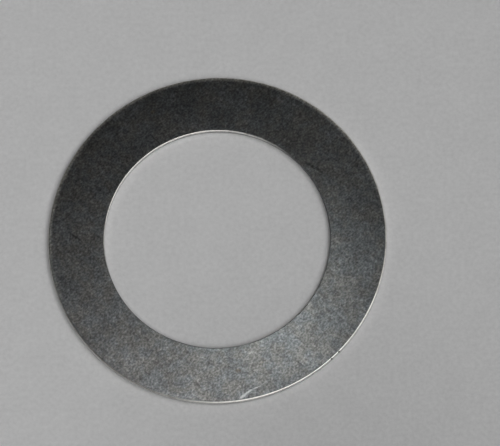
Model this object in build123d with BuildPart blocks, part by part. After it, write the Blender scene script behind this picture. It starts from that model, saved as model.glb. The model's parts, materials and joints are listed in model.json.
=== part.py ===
"""Shim ring, 12 x 18 x 0.3 mm, blanked from cold-rolled steel strip.

Frame: origin on the ring's axis at its lower face, +Z up, millimetres.

The ring is one revolved section: two flat faces, an upright bore wall and
an upright outer wall. Barrel finishing has taken the burrs off the four
edges and left each of them with a small radius. Two handling nicks break the
outer rim 3.45 degrees apart.
"""

import os

from build123d import *

# ---------------------------------------------------------------- dimensions
bore_d = 12.00            # bore
outer_d = 18.00           # outside diameter
thick = 0.30              # strip thickness

rim_round = 0.080         # radius of both edges of the outer wall
bore_round = 0.045        # radius of both edges of the bore

nick_angles = (-44.25, -47.70)   # degrees about +Z from +X
nick_radii = (0.046, 0.040)      # radius of each nick's hollow
nick_centre_out = 0.006          # the hollow's centre stands this far outside

# ------------------------------------------------------------------- derived
r_in = bore_d / 2
r_out = outer_d / 2
width = r_out - r_in             # radial width of the band

# ---------------------------------------------------------------------- ring
with BuildPart() as shim_ring:
    with BuildSketch(Plane.XZ) as section:
        with Locations(((r_in + r_out) / 2, thick / 2)):
            Rectangle(width, thick)
        corners = section.vertices().group_by(Axis.X)
        fillet(corners[-1], radius=rim_round)
        fillet(corners[0], radius=bore_round)
    revolve(axis=Axis.Z, revolution_arc=360)

    # handling nicks, through the whole edge
    with BuildSketch(Plane.XY) as nicks:
        for angle, radius in zip(nick_angles, nick_radii):
            with PolarLocations(r_out + nick_centre_out, 1, start_angle=angle):
                Circle(radius)
    extrude(amount=thick, mode=Mode.SUBTRACT)

shim_ring.part.label = "shim_ring"

# --------------------------------------------------------------------- write
os.makedirs("parts", exist_ok=True)
export_step(shim_ring.part, "parts/shim_ring.step")
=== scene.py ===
import json
from math import radians, sin, cos, pi, hypot

import bpy
import bmesh
import numpy as np
from mathutils import Vector, Matrix


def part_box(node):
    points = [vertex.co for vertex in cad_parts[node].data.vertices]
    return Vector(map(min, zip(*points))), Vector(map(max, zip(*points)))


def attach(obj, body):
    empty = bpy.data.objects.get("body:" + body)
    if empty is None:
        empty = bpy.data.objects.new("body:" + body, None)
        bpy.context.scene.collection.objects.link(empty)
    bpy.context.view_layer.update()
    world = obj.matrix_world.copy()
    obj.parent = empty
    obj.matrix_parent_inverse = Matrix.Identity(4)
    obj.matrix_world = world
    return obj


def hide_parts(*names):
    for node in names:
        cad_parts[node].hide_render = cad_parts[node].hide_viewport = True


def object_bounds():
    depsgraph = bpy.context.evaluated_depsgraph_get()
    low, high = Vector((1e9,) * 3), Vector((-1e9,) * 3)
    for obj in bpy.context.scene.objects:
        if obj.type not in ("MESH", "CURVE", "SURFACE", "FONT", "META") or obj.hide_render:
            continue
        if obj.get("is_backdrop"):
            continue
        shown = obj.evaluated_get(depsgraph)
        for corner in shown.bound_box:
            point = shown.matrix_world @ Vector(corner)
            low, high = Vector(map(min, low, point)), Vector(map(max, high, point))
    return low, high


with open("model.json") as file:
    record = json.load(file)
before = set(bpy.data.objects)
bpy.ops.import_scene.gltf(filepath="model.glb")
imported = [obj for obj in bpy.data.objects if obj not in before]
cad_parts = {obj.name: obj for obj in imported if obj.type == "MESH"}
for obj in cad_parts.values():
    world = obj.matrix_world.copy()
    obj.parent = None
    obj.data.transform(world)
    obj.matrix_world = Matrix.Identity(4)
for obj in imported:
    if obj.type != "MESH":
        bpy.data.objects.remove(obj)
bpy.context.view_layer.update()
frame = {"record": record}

scene = bpy.context.scene
scene.view_settings.view_transform = "Standard"
scene.view_settings.look = "None"
scene.view_settings.exposure = 0.0
scene.view_settings.gamma = 1.0

MM = 1e-3

# ------------------------------------------------------------------ dimensions
# Sizes come from the frame; the section's small radii repeat the CAD's, in mm.
lo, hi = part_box("shim_ring")
bore = next(m for m in frame["record"]["mounts"] if m["name"] == "bore")
rim = next(m for m in frame["record"]["mounts"] if m["name"] == "outer_rim")
R_IN = bore["dims"]["r_mm"]
R_OUT = rim["dims"]["r_mm"]
T = hi[2] / MM

ROUND, BORE_ROUND = 0.080, 0.045     # radii of the rim's and the bore's edges
FINE, MIDDLE, BROAD = 2.3, 1.1, 0.8  # share of each grain in the steel's tone
BUMP = 6e-7                          # height of the grain, in metres

# ------------------------------------------------------------------- the ring


def section():
    """The ring's section as a closed loop of (r, z, sharp) in mm: out along the
    lower face, up the outer wall, in along the upper face and down the bore."""
    pts = []

    def add(r, z, sharp=False):
        pts.append((r, z, sharp))

    def corner(r, z, radius, start):
        for k in range(0, 11):
            w = radians(start + 9 * k)
            add(r + radius * cos(w), z + radius * sin(w))

    # a narrow strip beside each rounding keeps the wide flats' normals upright
    a, b = R_IN + BORE_ROUND, R_OUT - ROUND
    flat = [a + 0.003] + [a + (b - a) * k / 12 for k in range(1, 12)] + [b - 0.003]
    for r in flat:
        add(r, 0.0)
    corner(b, ROUND, ROUND, 270)
    add(R_OUT, T / 2)
    corner(b, T - ROUND, ROUND, 0)
    for r in reversed(flat):
        add(r, T)
    corner(a, T - BORE_ROUND, BORE_ROUND, 90)
    add(R_IN, T / 2)
    corner(a, BORE_ROUND, BORE_ROUND, 180)
    return pts


# handling nicks in the rim: angle about +Z in degrees, hollow radius in mm
NICKS = [(-44.25, 0.046), (-47.70, 0.040)]
NICK_OUT = 0.006


def angles():
    """Even steps, with fine ones across each nick."""
    out = set()
    n = 900
    for k in range(n):
        a = -180 + 360 * k / n
        if all(abs(a - c) > 0.75 for c, _ in NICKS):
            out.add(round(a, 5))
    for c, _ in NICKS:
        for k in range(-24, 25):
            out.add(round(c + 0.75 * k / 24, 5))
    return sorted(out)


def make_ring():
    sec = section()
    ang = angles()
    ns, na = len(sec), len(ang)
    r = np.array([p[0] for p in sec])
    z = np.array([p[1] for p in sec])
    sharp = [p[2] for p in sec]
    a = np.radians(np.array(ang))
    rr = np.repeat(r[None, :], na, 0)
    zz = np.repeat(z[None, :], na, 0)
    # nicks: what stands outside a nick's hollow is pressed back to it
    for c, rad in NICKS:
        s = R_OUT * (a - radians(c))
        inside = np.abs(s) < rad
        limit = np.full(na, 99.0)
        limit[inside] = R_OUT + NICK_OUT - np.sqrt(rad**2 - s[inside] ** 2)
        rr = np.minimum(rr, limit[:, None])
    x = rr * np.cos(a)[:, None]
    y = rr * np.sin(a)[:, None]
    co = np.stack([x, y, zz], -1).reshape(-1, 3) * MM

    me = bpy.data.meshes.new("shim_ring_steel")
    faces = []
    for i in range(na):
        j = (i + 1) % na
        for k in range(ns):
            m = (k + 1) % ns
            faces.append((i * ns + k, j * ns + k, j * ns + m, i * ns + m))
    me.from_pydata([tuple(c) for c in co], [], faces)
    me.polygons.foreach_set("use_smooth", [True] * len(me.polygons))
    me.update()
    bm = bmesh.new()
    bm.from_mesh(me)
    bm.verts.ensure_lookup_table()
    for e in bm.edges:
        u, v = e.verts[0].index, e.verts[1].index
        if u % ns == v % ns and sharp[u % ns]:
            e.smooth = False
    bmesh.ops.recalc_face_normals(bm, faces=bm.faces)
    bm.to_mesh(me)
    bm.free()
    me.update()

    # a map for the bake: upper face, lower face, then the two walls in strips
    uv = me.uv_layers.new(name="OFBake")
    # classify each quad column by its two section points
    kind = []
    for k in range(ns):
        m = (k + 1) % ns
        if z[k] < 1e-9 and z[m] < 1e-9:
            kind.append("low")
        elif abs(z[k] - T) < 1e-9 and abs(z[m] - T) < 1e-9:
            kind.append("top")
        elif r[k] > (R_IN + R_OUT) / 2:
            kind.append("out")
        else:
            kind.append("in")
    # running length along each wall, for its strips
    run = {"out": [], "in": []}
    for name in run:
        ks = [k for k in range(ns) if kind[k] == name]
        d = 0.0
        for k in ks:
            m = (k + 1) % ns
            l = hypot(r[m] - r[k], z[m] - z[k])
            run[name].append((k, d, d + l))
            d += l
        run[name] = {k: (p / d, q / d) for k, p, q in run[name]}
    STRIPS = {"out": (4, 0.010, 0.038), "in": (3, 0.170, 0.038)}
    data = np.zeros((len(me.loops), 2))
    for f in me.polygons:
        i, k = divmod(f.index, ns)
        j = (i + 1) % na
        m = (k + 1) % ns
        for li in f.loop_indices:
            v = me.loops[li].vertex_index
            vi, vk = divmod(v, ns)
            if kind[k] == "top":
                c, s = np.array([0.36, 0.64]), 0.345 / R_OUT
                data[li] = c + s * r[vk] * np.array([cos(a[vi]), sin(a[vi])])
            elif kind[k] == "low":
                c, s = np.array([0.855, 0.145]), 0.135 / R_OUT
                data[li] = c + s * r[vk] * np.array([cos(a[vi]), -sin(a[vi])])
            else:
                n, v0, dv = STRIPS[kind[k]]
                t0 = i / na
                row = min(int(t0 * n), n - 1)
                first = -(-row * na // n)
                last = -(-(row + 1) * na // n)
                ii = i if vi == i else i + 1
                u = (ii - first) / (last - first)
                w = run[kind[k]][k][0 if vk == k else 1]
                data[li] = (0.01 + 0.68 * u, v0 + dv * row + 0.030 * w)
    uv.data.foreach_set("uv", data.ravel())
    ob = bpy.data.objects.new("shim_ring_visual", me)
    scene.collection.objects.link(ob)
    return ob


ring = make_ring()

# ------------------------------------------------------------------ node tools


class Tree:
    """Short calls for building a node tree."""

    def __init__(self, tree):
        self.t = tree

    def new(self, kind, **props):
        n = self.t.nodes.new(kind)
        for key, val in props.items():
            setattr(n, key, val)
        return n

    def put(self, sock, val):
        if isinstance(val, bpy.types.NodeSocket):
            self.t.links.new(val, sock)
        else:
            sock.default_value = val

    def math(self, op, a, b=0.0, c=None, clamp=False):
        n = self.new("ShaderNodeMath", operation=op, use_clamp=clamp)
        self.put(n.inputs[0], a)
        if op not in ("ABSOLUTE", "SQRT", "SINE", "COSINE"):
            self.put(n.inputs[1], b)
        if c is not None:
            self.put(n.inputs[2], c)
        return n.outputs[0]

    def vmath(self, op, a, b=(0, 0, 0), scale=None):
        n = self.new("ShaderNodeVectorMath", operation=op)
        self.put(n.inputs[0], a)
        if op not in ("LENGTH", "NORMALIZE", "SCALE"):
            self.put(n.inputs[1], b)
        if scale is not None:
            self.put(n.inputs["Scale"], scale)
        return n.outputs["Value"] if op in ("LENGTH", "DISTANCE", "DOT_PRODUCT") else n.outputs[0]

    def remap(self, val, a, b, c=0.0, d=1.0, smooth=True):
        n = self.new("ShaderNodeMapRange")
        n.interpolation_type = "SMOOTHSTEP" if smooth else "LINEAR"
        n.clamp = True
        self.put(n.inputs["Value"], val)
        for key, v in (("From Min", a), ("From Max", b), ("To Min", c), ("To Max", d)):
            self.put(n.inputs[key], v)
        return n.outputs["Result"]

    def noise(self, vec, scale, detail=2.0, rough=0.5, distort=0.0, kind="FBM", w=None):
        n = self.new("ShaderNodeTexNoise", noise_dimensions="3D" if w is None else "4D")
        n.noise_type = kind
        n.normalize = True
        self.put(n.inputs["Vector"], vec)
        if w is not None:
            self.put(n.inputs["W"], w)
        self.put(n.inputs["Scale"], scale)
        self.put(n.inputs["Detail"], detail)
        self.put(n.inputs["Roughness"], rough)
        self.put(n.inputs["Distortion"], distort)
        return n.outputs[0]

    def spun(self, vec, angle, stretch=(1, 1, 1), shift=(0, 0, 0)):
        """Coordinates turned about Z by angle in degrees and then stretched."""
        n = self.new("ShaderNodeMapping", vector_type="TEXTURE")
        self.put(n.inputs["Vector"], vec)
        n.inputs["Rotation"].default_value = (0, 0, radians(angle))
        n.inputs["Location"].default_value = shift
        n.inputs["Scale"].default_value = stretch
        return n.outputs[0]

    def mix(self, fac, a, b, blend="MIX"):
        n = self.new("ShaderNodeMix", data_type="RGBA", blend_type=blend)
        n.clamp_factor = True
        self.put(n.inputs[0], fac)
        for s, v in ((n.inputs[6], a), (n.inputs[7], b)):
            if isinstance(v, (tuple, list)):
                v = (*v[:3], 1.0)
            self.put(s, v)
        return n.outputs[2]


def material(name):
    m = bpy.data.materials.new(name)
    m.use_nodes = True
    m.node_tree.nodes.clear()
    t = Tree(m.node_tree)
    out = t.new("ShaderNodeOutputMaterial")
    b = t.new("ShaderNodeBsdfPrincipled")
    m.node_tree.links.new(b.outputs[0], out.inputs["Surface"])
    return m, t, b


# ------------------------------------------------------------- steel material
ROLLING = -35.0                # the strip's rolling direction, degrees about +Z
steel, t, b = material("cold_rolled_steel")
co = t.new("ShaderNodeTexCoord").outputs["Object"]
p_mm = t.vmath("SCALE", co, scale=1000.0)          # millimetres
sep = t.new("ShaderNodeSeparateXYZ")
t.put(sep.inputs[0], p_mm)
high = sep.outputs["Z"]
plan = t.vmath("MULTIPLY", p_mm, (1, 1, 0))
rad = t.vmath("LENGTH", plan)
upper = t.remap(high, T - 0.06, T - 0.03)


def blob(x, y, angle, length, width, core=0.35):
    """A soft oval mark on the upper face: its middle in mm, its direction in
    degrees, its half length and half width in mm."""
    q = t.spun(plan, angle, (length, width, 1.0), (x, y, 0.0))
    return t.math("MULTIPLY", t.remap(t.vmath("LENGTH", q), 1.0, core), upper)


def streak(x0, y0, x1, y1, width, core=0.2):
    """A soft tapering mark from one point to another."""
    half_len = hypot(x1 - x0, y1 - y0) / 2
    angle = np.degrees(np.arctan2(y1 - y0, x1 - x0))
    return blob((x0 + x1) / 2, (y0 + y1) / 2, float(angle), half_len, width, core)


def gather(masks):
    out = masks[0]
    for m in masks[1:]:
        out = t.math("MAXIMUM", out, m)
    return out


# fine matt grain of the rolled surface, and broader cloudiness
turned = t.spun(p_mm, 45.0, (1.2, 1.0, 1.0))
fine = t.math("SUBTRACT", t.noise(turned, 9.5, detail=1.5, rough=0.65), 0.5)
middle = t.math("SUBTRACT", t.noise(p_mm, 3.6, detail=1.0, rough=0.5, w=1.7), 0.5)
broad = t.math("SUBTRACT", t.noise(p_mm, 0.9, detail=1.0, rough=0.5, w=5.1), 0.5)
# faint drawn lines along the rolling direction
drawn = t.noise(t.spun(p_mm, ROLLING, (9.0, 1.0, 1.0)), 11.0, detail=1.0, rough=0.5, w=3.3)
lines = t.remap(drawn, 0.60, 0.78, 0.0, -0.22)
lum = t.math("MULTIPLY_ADD", fine, FINE, lines)
lum = t.math("MULTIPLY_ADD", middle, MIDDLE, lum)
lum = t.math("MULTIPLY_ADD", broad, BROAD, lum)
lum = t.math("POWER", 2.718, lum)

# painted sheen: the face is painted brighter, and a little brown, just inside the rim's far side, where the rolled
# edge catches light
facing = t.vmath("DOT_PRODUCT", plan, (-0.26 / R_OUT, 0.97 / R_OUT, 0.0))
far_rim_sheen = t.math("MULTIPLY", t.remap(rad, R_OUT - 0.26, R_OUT - 0.06), t.remap(facing, -0.35, 0.60))
lum = t.math("MULTIPLY", lum, t.math("MULTIPLY_ADD", far_rim_sheen, 2.2, 1.0))

# marks of handling
dark = gather([
    streak(4.36, 4.42, 5.90, 3.42, 0.100, 0.45),
    streak(-8.00, 0.50, -7.05, -0.17, 0.080, 0.35),
    streak(3.98, -6.57, 4.75, -7.18, 0.070, 0.35),
    streak(-3.90, 6.15, -2.75, 5.00, 0.060, 0.0),
    streak(-4.05, -7.05, -3.20, -7.70, 0.060, 0.0),
])
lum = t.math("MULTIPLY", lum, t.math("MULTIPLY_ADD", dark, -0.40, 1.0))
faint = gather([
    streak(-7.05, -0.17, -6.10, -1.60, 0.070, 0.0),
    streak(6.00, 0.10, 7.90, -1.10, 0.060, 0.0),
    streak(6.20, -0.75, 8.10, -1.75, 0.070, 0.0),
    streak(5.60, 4.80, 7.30, 3.60, 0.060, 0.0),
])
lum = t.math("MULTIPLY_ADD", faint, -0.22, lum)
cloud = t.remap(t.noise(p_mm, 5.0, detail=2.0, rough=0.6, w=8.8), 0.35, 0.60)
# pale patches painted lighter on the upper face; those by the rim's far side are painted glints
pale_patches_and_glints = gather([
    blob(1.80, -6.33, 20.0, 0.34, 0.24, 0.0),
    blob(1.89, 8.38, 10.0, 0.36, 0.17, 0.0),
    blob(3.50, 7.60, -25.0, 0.40, 0.16, 0.0),
    blob(-5.36, 6.83, 48.0, 0.34, 0.15, 0.0),
])
lum = t.math("MULTIPLY_ADD", t.math("MULTIPLY", pale_patches_and_glints, cloud), 0.80, lum)
lum = t.math("MAXIMUM", lum, 0.15)

# slight unevenness of hue: cold blue-grey, with patches of a warm oily film
hue = t.remap(t.noise(p_mm, 1.6, detail=2.0, rough=0.6, w=11.0), 0.38, 0.62)
face = t.mix(hue, (0.158, 0.163, 0.167), (0.168, 0.163, 0.156))
# the same painted sheen gives the far rim's face its brownish tint
face = t.mix(t.math("MULTIPLY", far_rim_sheen, 0.8), face, (0.173, 0.163, 0.143))
stain = gather([
    blob(2.40, -6.80, 75.0, 0.32, 0.20, 0.0),
    blob(1.15, -7.25, 0.0, 0.26, 0.20, 0.0),
    blob(-3.45, 7.10, 30.0, 0.25, 0.18, 0.0),
    blob(-6.85, 3.80, 60.0, 0.25, 0.16, 0.0),
])
face = t.mix(t.math("MULTIPLY", t.math("MULTIPLY", stain, cloud), 1.00), face, (0.148, 0.124, 0.095))
base = t.new("ShaderNodeVectorMath", operation="SCALE")
t.put(base.inputs[0], face)
t.put(base.inputs["Scale"], lum)

# one bright scratch, deep where it starts by the rim and thinning as it turns
scratch = gather([
    streak(1.12, -8.84, 1.66, -8.44, 0.100, 0.40),
    streak(1.40, -8.60, 1.95, -8.22, 0.075, 0.30),
    streak(1.75, -8.32, 2.40, -8.06, 0.045, 0.10),
])
rough_cut = t.remap(t.noise(p_mm, 16.0, detail=1.0, rough=0.6, w=2.0), 0.30, 0.55, 0.45, 1.0)
scratch = t.math("MULTIPLY", scratch, rough_cut)
scratch = t.math("MAXIMUM", scratch, t.math("MULTIPLY", streak(2.20, -8.15, 2.75, -7.76, 0.045, 0.0), 0.35))
tint = t.mix(scratch, base.outputs[0], (0.46, 0.46, 0.455))

# the barrelled edges shine, unevenly along their length
out_edge = t.remap(rad, R_OUT - ROUND, R_OUT - 0.5 * ROUND)
in_edge = t.remap(rad, R_IN + BORE_ROUND, R_IN + 0.5 * BORE_ROUND)
wear = t.noise(p_mm, 2.6, detail=3.0, rough=0.7, w=6.0)
shine = t.mix(t.remap(wear, 0.30, 0.60), (0.70, 0.69, 0.66), (0.97, 0.96, 0.93))
near = t.remap(facing, 0.30, -0.30)
tint = t.mix(out_edge, tint, shine)
# the bore's edge keeps its shine on the upper left, where the lamps fall, and elsewhere is painted dull: painted
# shade
bore_lit_side = t.vmath("DOT_PRODUCT", plan, (-0.57 / R_IN, 0.82 / R_IN, 0.0))
tint = t.mix(in_edge, tint, t.mix(t.remap(bore_lit_side, 0.65, 0.15), shine, (0.13, 0.13, 0.125)))
# each nick is painted near black in the shining rim: painted shade in its hollow
nick_shade = gather([
    t.remap(t.vmath("DISTANCE", plan, (R_OUT * cos(radians(c)), R_OUT * sin(radians(c)), 0.0)), 1.7 * n, 0.9 * n)
    for c, n in NICKS])
tint = t.mix(nick_shade, tint, (0.04, 0.04, 0.04))
# the lowest part of the bore's wall is painted dark, and of the outer wall on its near side only: partly the duller
# fracture zone, partly painted contact shade
dull_foot_and_shade = t.math("MULTIPLY", t.remap(high, 0.13, 0.09), t.math("MAXIMUM", in_edge, t.math("MULTIPLY", out_edge, near)))
t.put(b.inputs["Base Color"], t.mix(dull_foot_and_shade, tint, (0.05, 0.05, 0.05)))

ht = t.math("MULTIPLY_ADD", fine, 1.0, t.math("MULTIPLY", middle, 1.5))
ht = t.math("MULTIPLY_ADD", scratch, -1.5, ht)
bump = t.new("ShaderNodeBump")
bump.inputs["Strength"].default_value = 1.0
bump.inputs["Distance"].default_value = BUMP
t.put(bump.inputs["Height"], ht)
t.put(b.inputs["Normal"], bump.outputs[0])
b.inputs["Metallic"].default_value = 1.0
b.inputs["Roughness"].default_value = 0.28
ring.data.materials.append(steel)

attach(ring, "root")
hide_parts("shim_ring")

# ----------------------------------------------------------------------- floor
paper, t, b = material("floor_paper")
pc = t.vmath("SCALE", t.new("ShaderNodeTexCoord").outputs["Object"], scale=1000.0)
fibre = t.math("SUBTRACT", t.noise(pc, 4.5, detail=2.0, rough=0.6), 0.5)
drift = t.math("SUBTRACT", t.noise(pc, 0.7, detail=2.0, rough=0.5, w=4.0), 0.5)
tone = t.math("MULTIPLY_ADD", fibre, 0.20, t.math("MULTIPLY_ADD", drift, 0.07, 0.855))
# painted shade: the sheet is painted a little darker to the right, and more so in a broad patch below the ring
side = t.new("ShaderNodeSeparateXYZ")
t.put(side.inputs[0], pc)
tone = t.math("MULTIPLY_ADD", side.outputs["X"], -0.0030, tone)
dim = t.vmath("DISTANCE", pc, (6.0, -15.0, 0.0))
tone = t.math("MULTIPLY_ADD", t.remap(dim, 18.0, 0.0), -0.12, tone)
grey = t.new("ShaderNodeCombineColor")
for k in range(3):
    t.put(grey.inputs[k], tone)
t.put(b.inputs["Base Color"], grey.outputs[0])
b.inputs["Roughness"].default_value = 0.9
b.inputs["Specular IOR Level"].default_value = 0.15

fm = bpy.data.meshes.new("floor")
S = 0.6
fm.from_pydata([(-S, -S, 0), (S, -S, 0), (S, S, 0), (-S, S, 0)], [], [(0, 1, 2, 3)])
floor = bpy.data.objects.new("floor", fm)
floor.location = (0, 0, -2e-6)
fm.materials.append(paper)
scene.collection.objects.link(floor)
floor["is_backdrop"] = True

# ---------------------------------------------------------------------- lights


def area(name, direction, distance, size, radiance, colour=(1, 1, 1), target=(0, 0, 0), shape="RECTANGLE"):
    """An area light that faces target, of even radiance whatever its size.
    direction is (azimuth clockwise from +X seen from above, zenith) in degrees."""
    az, zen = radians(-direction[0]), radians(direction[1])
    d = Vector((sin(zen) * cos(az), sin(zen) * sin(az), cos(zen)))
    return area_at(name, Vector(target) + d * distance, size, radiance, colour, target, shape)


def area_at(name, place, size, radiance, colour=(1, 1, 1), target=(0, 0, 0), shape="RECTANGLE"):
    place = Vector(place)
    l = bpy.data.lights.new(name, "AREA")
    l.shape = shape
    l.size, l.size_y = size
    a = size[0] * size[1] * (pi / 4 if shape in ("DISK", "ELLIPSE") else 1)
    l.energy = radiance * pi * a
    l.color = colour
    o = bpy.data.objects.new(name, l)
    o.location = place
    d = (place - Vector(target)).normalized()
    o.rotation_mode = "QUATERNION"
    o.rotation_quaternion = d.to_track_quat("Z", "Y")
    o.visible_camera = False
    scene.collection.objects.link(o)
    return o


K = 0.997222  # model size over the size the light fit was made at
# one broad soft lamp overhead, a little to the right, lights the sheet and
# makes the contact shadows
overhead = area("overhead", (24, 24), 0.60, (1.20, 0.60), 1.30)
overhead.visible_glossy = False
# what the metal mirrors: two panels, a dim one behind, and two small lamps
# close over the ring that raise the matt sheen of its upper face
for o in (
    area("key", (46, 42), 0.60, (1.00, 0.38), 2.20, (1.0, 0.99, 0.97)),
    area("side", (-45, 42), 0.60, (0.44, 0.21), 0.80, (1.0, 0.99, 0.97)),
    area("back", (262, 60), 0.60, (0.40, 0.21), 0.25, (1.0, 0.99, 0.97)),
    area_at("gleam", (1.27e-3 * K, 7.976e-3 * K, 0.045), (0.004, 0.004), 17.8, (0.945, 1.0, 1.0), shape="DISK"),
    area_at("gleam2", (-9.63e-3 * K, 3.0e-3 * K, 0.090), (0.008, 0.008), 25.0, (1.0, 1.0, 1.0), shape="DISK"),
):
    o.visible_diffuse = False

w = bpy.data.worlds.new("soft_room")
scene.world = w
w.use_nodes = True
w.node_tree.nodes.clear()
t = Tree(w.node_tree)
out = t.new("ShaderNodeOutputWorld")
bg = t.new("ShaderNodeBackground")
w.node_tree.links.new(bg.outputs[0], out.inputs["Surface"])
d = t.new("ShaderNodeTexCoord").outputs["Generated"]
sep = t.new("ShaderNodeSeparateXYZ")
t.put(sep.inputs[0], d)
up = sep.outputs["Z"]
low_sky = t.remap(up, 0.75, 0.15, 0.0, 1.0)
t.put(bg.inputs["Color"], t.mix(low_sky, (0.005, 0.005, 0.005), (0.10, 0.10, 0.10)))

# ---------------------------------------------------------------------- camera
cam_data = bpy.data.cameras.new("camera")
cam = bpy.data.objects.new("camera", cam_data)
scene.collection.objects.link(cam)
cam_data.sensor_width = 36.0
cam_data.lens = 5285.0 / 500.0 * 36.0
cam_data.clip_start, cam_data.clip_end = 0.01, 5.0
cam_data.dof.use_dof = False
TILT, AZ, DIST = radians(16.57), radians(7.0), 281.8 * K
aim = Vector((1.77 * K, 0.91 * K, 0.0))
back = Vector((sin(AZ) * sin(TILT), -cos(AZ) * sin(TILT), cos(TILT)))
cx = Vector((0, 1, 0)).cross(back).normalized()
cy = back.cross(cx)
half = 0.5 * DIST / 5285.0                     # half a pixel at the ring
place = aim + back * DIST - cx * half + cy * half
rot = Matrix((cx, cy, back)).transposed()
cam.matrix_world = Matrix.Translation(place * MM) @ rot.to_4x4()
scene.camera = cam

low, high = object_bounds()
